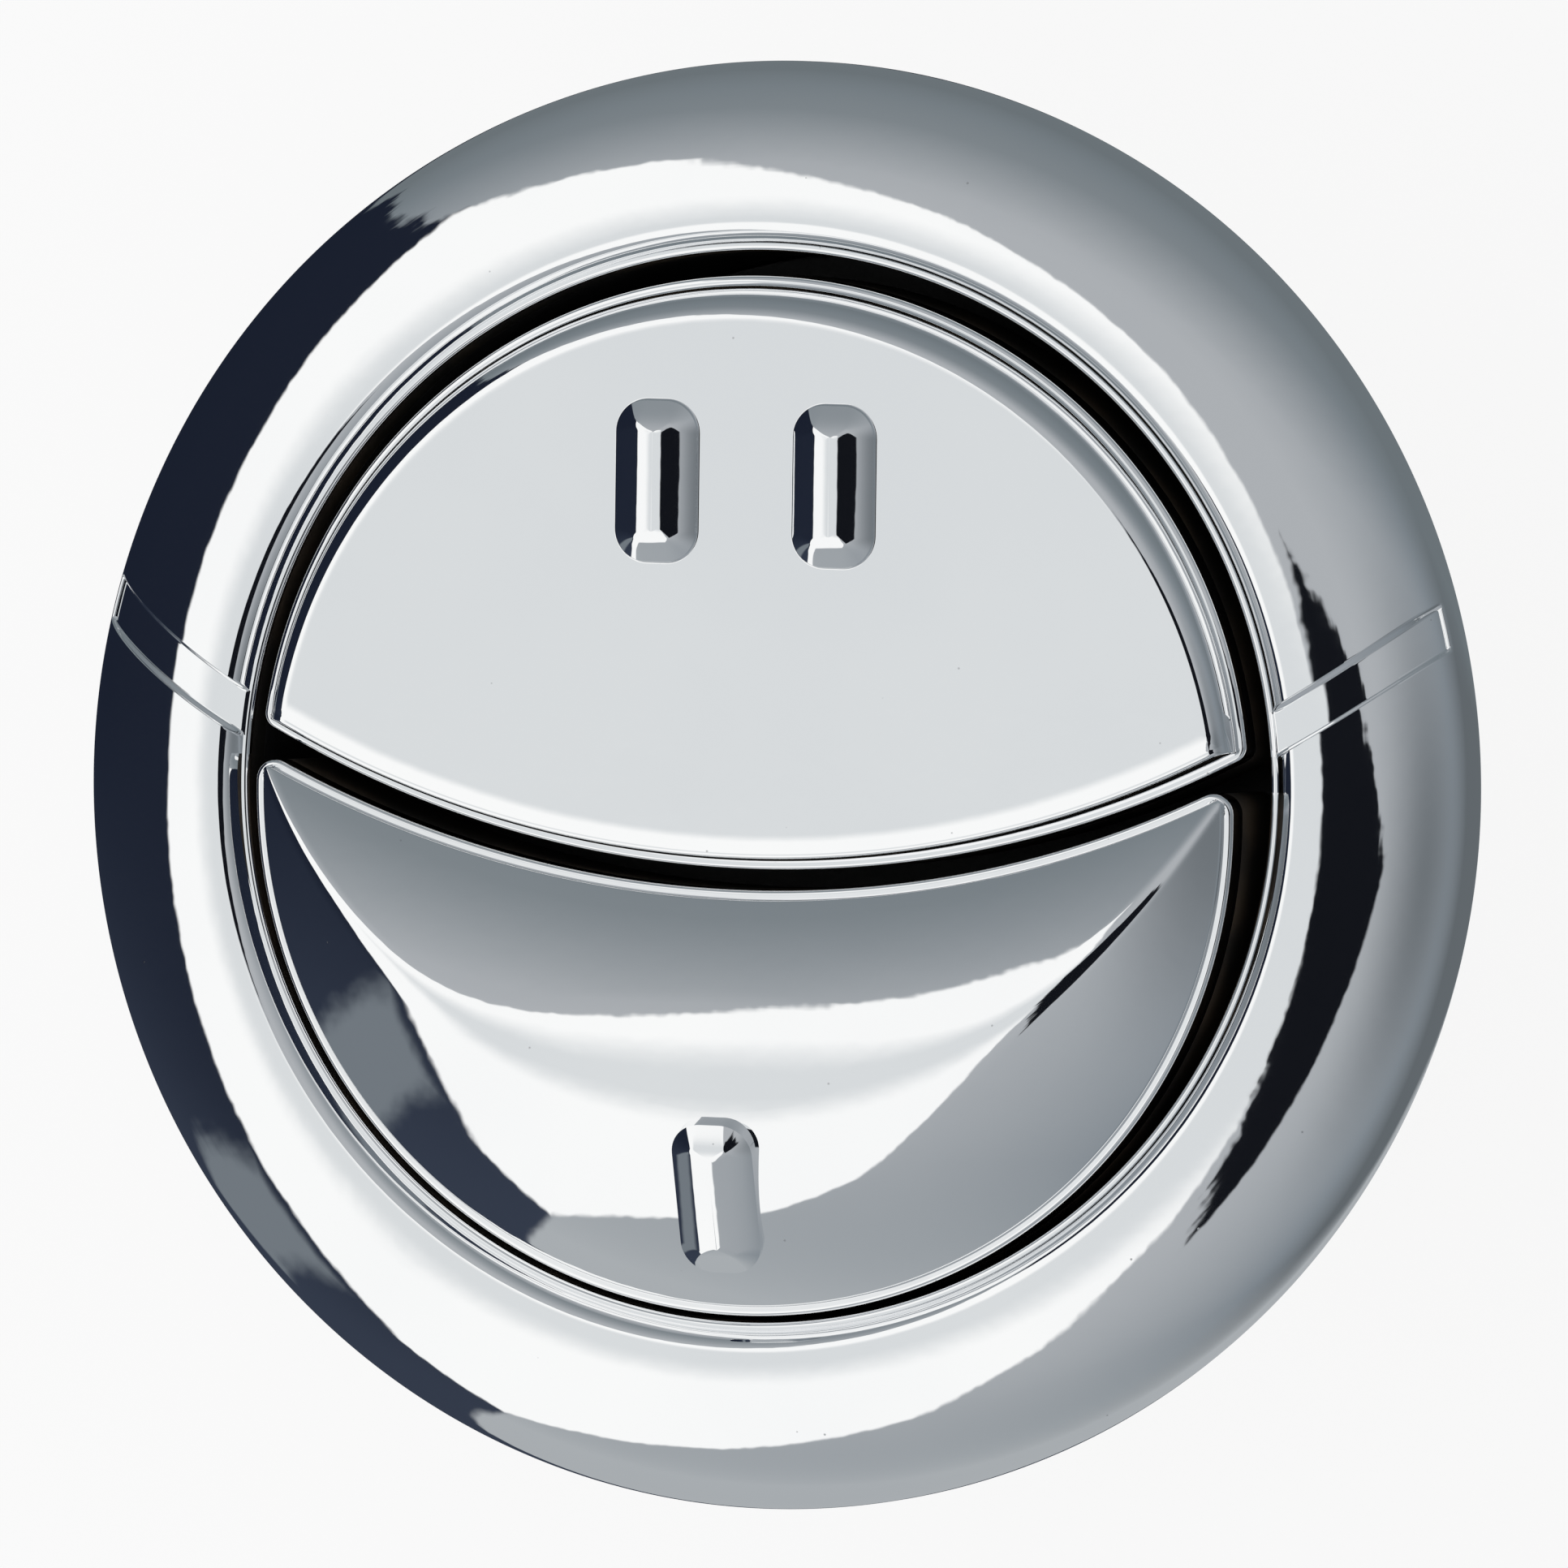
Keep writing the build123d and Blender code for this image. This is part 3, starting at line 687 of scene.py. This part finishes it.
def barrelMesh(s):
    f, under = s["soft"], s["shoulderZ"] - s["shoulderT"]
    upper = rounded([
        (s["registerR"], s["registerEnd"], f), (s["registerR"], s["flangeLow"], 0),
        (s["flangeR"], s["flangeLow"], f), (s["flangeR"], s["flangeTop"], f), (s["inR"], s["flangeTop"], f),
        (s["inR"], s["shoulderZ"], 0), (s["shoulderR"], s["shoulderZ"], f), (s["shoulderR"], under, f),
        (s["inR"], under, 0), (s["inR"], s["low"], 0), (s["rootR"], s["low"], 0),
    ])
    thread = threadRings(s, s["low"] + s["lowLand"], s["registerEnd"])
    return (*joinRings(thread + flatRings(upper, s["cols"]), closed=True), 0)


def barrelBosses(s):
    out = []
    for a in fullTurn(s["bosses"]) + math.pi / s["bosses"]:
        x, y = s["bossRing"] * math.cos(a), s["bossRing"] * math.sin(a)
        out.append(boss(x, y, s["bossLow"], s["shoulderZ"] - s["bossSink"], s["bossR"], 0))
    return out


barrelParts = [barrelMesh(barrelSet)] + barrelBosses(barrelSet)
barrel = shell("threaded_barrel", barrelParts, "housing", "black_abs", 40)
print("stage: barrel", len(barrel.data.polygons))

nutSet = {
    "inR": 28.8, "outR": 30.8, "lugR": 31.8, "faceR": 31.3, "faceT": 1.5, "top": -8.0, "high": 6.0,
    "soft": 0.3, "softSteps": 5, "stepLow": 0.25, "stepSoft": 0.12, "stepHigh": 0.1,
    "lugs": 12, "lugW": 4.0, "lugSoft": 0.5, "footDeg": 0.15, "valleyDeg": 0.6,
    "crownSteps": 4, "flankSteps": 6, "valleySteps": 7,
}


# Ring nut with a wider face at its top and lugs round its outside
def nutMesh(s):
    halfDeg = math.degrees(math.asin(s["lugW"] / 2 / s["lugR"]))
    softDeg = math.degrees(s["lugSoft"] / s["lugR"])
    pitchDeg, endDeg = 360.0 / s["lugs"], halfDeg + s["footDeg"]
    crown = np.linspace(0, halfDeg - softDeg, s["crownSteps"])[:-1]
    flank = np.linspace(halfDeg - softDeg, endDeg, s["flankSteps"])
    valley = np.linspace(halfDeg + s["valleyDeg"], pitchDeg / 2, s["valleySteps"])[:-1]
    span = np.concatenate([crown, flank, valley])
    oneLug = np.concatenate([-span[:0:-1], span])
    ang = np.radians(np.concatenate([oneLug + pitchDeg * k for k in range(s["lugs"])]))
    away = np.abs((np.degrees(ang) + pitchDeg / 2) % pitchDeg - pitchDeg / 2)
    t = np.clip((endDeg - away) / (softDeg + s["footDeg"]), 0, 1)
    out = s["outR"] + (s["lugR"] - s["outR"]) * np.sqrt(1 - (1 - t) ** 2)
    face = np.maximum(out, s["faceR"])
    f, inR, top = s["soft"], s["inR"], s["top"]
    low, step = top - s["high"], top - s["faceT"]
    turns = np.radians(np.linspace(0, 90, s["softSteps"]))
    rows = [(out - f + f * math.sin(a), low + f - f * math.cos(a)) for a in turns]
    rows += [(out, step - s["stepLow"]), (face - s["stepSoft"], step - s["stepSoft"])]
    rows += [(face, step + s["stepHigh"])]
    rows += [(face - f + f * math.cos(a), top - f + f * math.sin(a)) for a in turns]
    rows += [(inR + f, top), (inR, top - f), (inR, low + f), (inR + f, low)]
    return (*joinRings([ringAt(r, z, ang) for r, z in rows], closed=True), 0)


shell("lock_nut", [nutMesh(nutSet)], "nut", "black_abs", 40)

softRings = {
    "lid_gasket": {
        "body": "housing", "slot": "foam_rubber", "inR": 30.4, "outR": 32.4, "low": 0.0, "high": 1.6,
        "soft": 0.45, "cols": 168,
    },
    "clamp_washer": {
        "body": "washer", "slot": "grey_rubber", "inR": 29.6, "outR": 31.8, "low": -8.0, "high": -6.5,
        "soft": 0.35, "cols": 168,
    },
}


def softRingMesh(s):
    f, inR, outR, low, high = s["soft"], s["inR"], s["outR"], s["low"], s["high"]
    outline = rounded([(inR, low, f), (outR, low, f), (outR, high, f), (inR, high, f)])
    return (*joinRings(flatRings(outline, s["cols"]), closed=True), 0)


for node, ringSet in softRings.items():
    shell(node, [softRingMesh(ringSet)], ringSet["body"], ringSet["slot"], 60)
print("stage: nut, gasket and washer")

buttonY = {"full_flush": 6.5, "half_flush": -15.0}
rodSet = {
    "crestR": 3.0, "rootR": 2.5, "pitch": 1.0, "fade": 0.5, "threadStep": 0.125, "tip": -78.0,
    "tipSoft": 0.45, "chamfer": 0.8, "threadTop": -27.5, "runOut": 0.4, "top": -13.0, "cols": 28,
}
hexNutSet = {
    "flats": 10.0, "bore": 3.05, "boreSoft": 0.3, "low": -31.0, "high": -27.0, "bevelR": 4.8,
    "bevelSlope": 0.55, "cols": 96,
}
springSet = {
    "coilR": 7.0, "wireR": 0.45, "turns": 6, "low": -12.0, "high": 0.6, "closedRise": 0.95, "travel": 6.0,
    "turnSteps": 44, "wireSteps": 12,
}


def rodMesh(s, y):
    tip = [(s["rootR"] - s["tipSoft"], s["tip"]), (s["rootR"], s["tip"] + s["tipSoft"])]
    thread = threadRings(s, s["tip"] + s["chamfer"], s["threadTop"])
    shank = [(s["crestR"], s["threadTop"] + s["runOut"]), (s["crestR"], s["top"])]
    rings = flatRings(tip, s["cols"]) + thread + flatRings(shank, s["cols"])
    pts, faces = joinRings(rings, closed=False)
    return pts + np.array([0, y, 0]), faces, 0


# Hexagon whose corners are turned off by a cone at both ends
def hexMesh(s, y):
    ang, sixth = fullTurn(s["cols"]), math.pi / 3
    out = s["flats"] / 2 / np.cos((ang + sixth / 2) % sixth - sixth / 2)
    drop = np.maximum(out - s["bevelR"], 0) * s["bevelSlope"]
    bevel = np.minimum(out, s["bevelR"])
    bore, f, low, high = s["bore"], s["boreSoft"], s["low"], s["high"]
    rows = [
        (bevel, low), (out, low + drop), (out, high - drop), (bevel, high),
        (bore + f, high), (bore, high - f), (bore, low + f), (bore + f, low),
    ]
    pts, faces = joinRings([ringAt(r, z, ang) for r, z in rows], closed=True)
    return pts + np.array([0, y, 0]), faces, 0


# Coil with closed ends
def springMesh(s, y):
    low, high, turns, closed = s["low"] + s["wireR"], s["high"] - s["wireR"], s["turns"], s["closedRise"]
    turn = np.linspace(0, turns, turns * s["turnSteps"] + 1)
    rise = np.interp(turn, [0, 1, turns - 1, turns], [low, low + closed, high - closed, high])
    around = fullTurn(s["wireSteps"])
    r, sink = s["coilR"] + s["wireR"] * np.cos(around), s["wireR"] * np.sin(around)
    ang = turn * 2 * math.pi
    rings = [np.stack([r * np.cos(a), r * np.sin(a) + y, z - sink], -1) for a, z in zip(ang, rise)]
    return (*joinRings(rings, closed=False), 0)


for body, y in buttonY.items():
    shell(body + "_rod", [rodMesh(rodSet, y)], body, "white_acetal", 50)
    shell(body + "_rod_locknut", [hexMesh(hexNutSet, y)], body, "black_abs", 25)
    coil = shell(body + "_spring", [springMesh(springSet, y)], body, "spring_steel", 60)
    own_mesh(coil)
print("stage: rods, locknuts and springs")

# The sliders, guide plate, screws and clips keep their solids
for entry in frame["record"]["subparts"]:
    obj = nodes[entry["node"]]
    if not obj.hide_render:
        obj.data.materials.clear()
        obj.data.materials.append(mats[entry["material_slot"]])
print("stage: plain nodes painted")

# Studio seen in the chrome, as a flat chart of the sky: degrees from straight up, X right and Y up.
# Corners run counter-clockwise.
studioSet = {
    "wave": 2.2, "waveScale": 5.0, "fray": 1.3, "frayScale": 24.0, "edgeDetail": 3.0,
    "wallHigh": (0.43, 0.45, 0.472, 1), "wallLow": (0.225, 0.256, 0.284, 1),
    "wallFoot": (0.125, 0.142, 0.155, 1), "wallTop": 20.0, "wallEnd": 88.0, "footEnd": 120.0,
    "wallShade": (0.165, 0.195, 0.212, 1), "shadeFrom": 26.0, "shadeTo": 60.0, "shadeShare": 0.66,
    "wallLight": (0.42, 0.445, 0.465, 1), "lightLean": 0.6, "lightFrom": -45.0, "lightTo": -100.0,
    "lightShare": 0.95, "dullAt": (60.0, -10.0), "dullReach": 44.0, "dullShare": 0.8,
    "curtain": [
        (-40.0, 33.0), (-86.7, 70.7), (-170.0, 70.0), (-170.0, -150.0), (-75.0, -87.0), (-46.0, -61.0),
    ],
    "curtainDark": (0.011, 0.015, 0.028, 1), "curtainLight": (0.035, 0.045, 0.070, 1), "curtainSoft": 1.0,
    "darkFrom": 10.0, "lightFoot": -70.0,
    "panel": [(-53.5, -27.0), (-92.0, -42.0), (-112.0, -54.0), (-97.0, -64.0), (-55.0, -41.0)],
    "panelColour": (0.17, 0.195, 0.22, 1), "panelSoft": 2.5,
    "windowUpper": [
        (-42.7, 35.2), (-44.0, 16.0), (-42.3, -5.0), (-20.0, -12.0), (-2.7, -6.0), (-7.6, 9.0), (-22.7, 28.0),
    ],
    "windowLower": [
        (-42.3, -1.0), (-50.0, -24.0), (-51.8, -48.0), (-48.0, -62.7), (-20.0, -50.7), (-6.7, -41.3),
        (-1.3, -29.3), (-2.7, -3.0), (-16.0, 4.0),
    ],
    "windowDim": (0.715, 0.74, 0.753, 1), "windowBright": (0.985, 0.99, 0.985, 1), "windowSoft": 0.8,
    "dimX": -17.0, "dimY": -4.0, "dimNear": 3.0, "dimFar": 14.0,
    "camera": [
        (-6.7, -1.3), (-2.7, -8.0), (1.3, -25.3), (6.7, -26.1), (29.3, -5.3), (10.7, 6.7), (-1.3, 5.9),
    ],
    "cameraColour": (0.006, 0.007, 0.010, 1), "cameraSoft": 0.7,
}


def polygonMask(tree, x, y, corners, soft):
    least = None
    for (ax, ay), (bx, by) in zip(corners, corners[1:] + corners[:1]):
        long = math.hypot(bx - ax, by - ay)
        nx, ny = -(by - ay) / long, (bx - ax) / long
        inside = calc(tree, "MULTIPLY_ADD", y, ny, -(nx * ax + ny * ay))
        inside = calc(tree, "MULTIPLY_ADD", x, nx, inside)
        least = inside if least is None else calc(tree, "MINIMUM", least, inside)
    return mapRange(tree, least, -soft, soft, 0.0, 1.0)


def lengthOf(tree, x, y):
    return calc(tree, "SQRT", calc(tree, "ADD", calc(tree, "MULTIPLY", x, x), calc(tree, "MULTIPLY", y, y)))


def skyChart(tree, coord):
    split = tree.nodes.new("ShaderNodeSeparateXYZ")
    feed(tree, split.inputs[0], coord)
    x, y, z = split.outputs
    down = calc(tree, "MULTIPLY", calc(tree, "ARCCOSINE", z), 180 / math.pi)
    spread = calc(tree, "DIVIDE", down, calc(tree, "MAXIMUM", lengthOf(tree, x, y), 0.0001))
    return calc(tree, "MULTIPLY", x, spread), calc(tree, "MULTIPLY", y, spread), down


def studioColour(tree, s):
    coord = tree.nodes.new("ShaderNodeTexCoord").outputs["Generated"]
    x, y, down = skyChart(tree, coord)

    def waver(scale, reach):
        return calc(tree, "MULTIPLY_ADD", noise(tree, coord, scale, s["edgeDetail"]), 2 * reach, -reach)

    def ramp(value, low, high, share=1.0):
        return mapRange(tree, value, low, high, 0.0, share, smooth=False)

    wave, fray = waver(s["waveScale"], s["wave"]), waver(s["frayScale"], s["fray"])
    wx, wy = calc(tree, "ADD", x, wave), calc(tree, "ADD", y, wave)
    fx, fy = calc(tree, "ADD", wx, fray), calc(tree, "ADD", wy, fray)

    # walls, darker towards the foot, with a shaded top, a lighter lower left and a dull patch on the right
    colour = mixColour(tree, s["wallHigh"], s["wallLow"], ramp(down, s["wallTop"], s["wallEnd"]))
    colour = mixColour(tree, colour, s["wallFoot"], ramp(down, s["wallEnd"], s["footEnd"]))
    colour = mixColour(tree, colour, s["wallShade"], ramp(y, s["shadeFrom"], s["shadeTo"], s["shadeShare"]))
    lowLeft = calc(tree, "MULTIPLY_ADD", x, s["lightLean"], y)
    light = ramp(lowLeft, s["lightFrom"], s["lightTo"], s["lightShare"])
    colour = mixColour(tree, colour, s["wallLight"], light)
    offX, offY = (calc(tree, "SUBTRACT", value, at) for value, at in zip((x, y), s["dullAt"]))
    dull = mapRange(tree, lengthOf(tree, offX, offY), 0.0, s["dullReach"], s["dullShare"], 0.0)
    colour = mixColour(tree, colour, s["wallFoot"], dull)

    # dark curtain with a paler panel in it
    foot = mapRange(tree, y, s["darkFrom"], s["lightFoot"], 0.0, 1.0)
    cloth = mixColour(tree, s["curtainDark"], s["curtainLight"], foot)
    colour = mixColour(tree, colour, cloth, polygonMask(tree, fx, fy, s["curtain"], s["curtainSoft"]))
    colour = mixColour(tree, colour, s["panelColour"], polygonMask(tree, wx, wy, s["panel"], s["panelSoft"]))

    # window, dimmer along a band, and the dark camera in front of it
    offBand = calc(tree, "ABSOLUTE", calc(tree, "SUBTRACT", wy, s["dimY"]))
    offBand = calc(tree, "MAXIMUM", offBand, calc(tree, "SUBTRACT", s["dimX"], wx))
    bright = mapRange(tree, offBand, s["dimNear"], s["dimFar"], 0.0, 1.0)
    glow = mixColour(tree, s["windowDim"], s["windowBright"], bright)
    upper = polygonMask(tree, wx, wy, s["windowUpper"], s["windowSoft"])
    lower = polygonMask(tree, wx, wy, s["windowLower"], s["windowSoft"])
    colour = mixColour(tree, colour, glow, calc(tree, "MAXIMUM", upper, lower))
    return mixColour(tree, colour, s["cameraColour"], polygonMask(tree, fx, fy, s["camera"], s["cameraSoft"]))


# Mirrors see the studio; everything else is lit by plain white
def makeWorld(s):
    world = bpy.data.worlds.new("studio")
    scene.world = world
    world.use_nodes = True
    tree = world.node_tree
    mirror = tree.nodes.new("ShaderNodeLightPath").outputs["Is Glossy Ray"]
    seen = mixColour(tree, (1, 1, 1, 1), studioColour(tree, s), mirror)
    feed(tree, tree.nodes["Background"].inputs["Color"], seen)


makeWorld(studioSet)

floorSet = {
    "z": -79.0, "size": 6.0, "glow": 0.76, "pale": (0.86, 0.86, 0.86, 1), "paler": (0.88, 0.88, 0.88, 1),
    "patchScale": 18.0, "patchDetail": 3.0,
}


# Pale floor: near white for the camera with a share of its own shading, clear for mirrors and from below
def floorMaterial(s):
    mat = bpy.data.materials.new("paleFloor")
    mat.use_nodes = True
    tree = mat.node_tree
    tree.nodes.clear()
    out = tree.nodes.new("ShaderNodeOutputMaterial")
    path = tree.nodes.new("ShaderNodeLightPath")
    coord = tree.nodes.new("ShaderNodeTexCoord").outputs["Object"]
    below = tree.nodes.new("ShaderNodeNewGeometry").outputs["Backfacing"]
    paint, glow = tree.nodes.new("ShaderNodeBsdfDiffuse"), tree.nodes.new("ShaderNodeEmission")
    patch = noise(tree, coord, s["patchScale"], s["patchDetail"])
    feed(tree, paint.inputs["Color"], mixColour(tree, s["pale"], s["paler"], patch))
    shown, clear = tree.nodes.new("ShaderNodeMixShader"), tree.nodes.new("ShaderNodeMixShader")
    feed(tree, shown.inputs[0], calc(tree, "MULTIPLY", path.outputs["Is Camera Ray"], s["glow"]))
    feed(tree, shown.inputs[1], paint.outputs[0])
    feed(tree, shown.inputs[2], glow.outputs[0])
    feed(tree, clear.inputs[0], calc(tree, "MAXIMUM", path.outputs["Is Glossy Ray"], below))
    feed(tree, clear.inputs[1], shown.outputs[0])
    feed(tree, clear.inputs[2], tree.nodes.new("ShaderNodeBsdfTransparent").outputs[0])
    feed(tree, out.inputs["Surface"], clear.outputs[0])
    return mat


def makeFloor(s):
    half = s["size"] / 2
    corners = [(-half, -half, 0), (half, -half, 0), (half, half, 0), (-half, half, 0)]
    mesh = bpy.data.meshes.new("floor")
    mesh.from_pydata(corners, [], [(0, 1, 2, 3)])
    mesh.materials.append(floorMaterial(s))
    floor = bpy.data.objects.new("floor", mesh)
    floor.location = (0, 0, s["z"] * mm)
    scene.collection.objects.link(floor)


makeFloor(floorSet)

cameraSet = {
    "distance": 1200.0, "aim": (0.09, 0.06, 0.9), "turnDeg": (1.61, -17.54, -2.11),
    "pixelPerMm": 24.447, "pixels": 1932, "sensor": 36.0, "clip": (0.05, 20.0),
}


def placeCamera(s):
    rx, ry, rz = (math.radians(a) for a in s["turnDeg"])
    look = Matrix.Rotation(rz, 3, "Z") @ Matrix.Rotation(ry, 3, "Y") @ Matrix.Rotation(rx, 3, "X")
    turn = look.transposed()
    lens = bpy.data.cameras.new("camera")
    lens.sensor_width = s["sensor"]
    lens.lens = s["pixelPerMm"] * s["distance"] / s["pixels"] * s["sensor"]
    lens.clip_start, lens.clip_end = s["clip"]
    camera = bpy.data.objects.new("camera", lens)
    camera.location = (Vector(s["aim"]) + turn @ Vector((0, 0, s["distance"]))) * mm
    camera.rotation_euler = turn.to_euler()
    scene.collection.objects.link(camera)
    scene.camera = camera


placeCamera(cameraSet)
scene.view_settings.view_transform = "Standard"
print("stage: studio set")
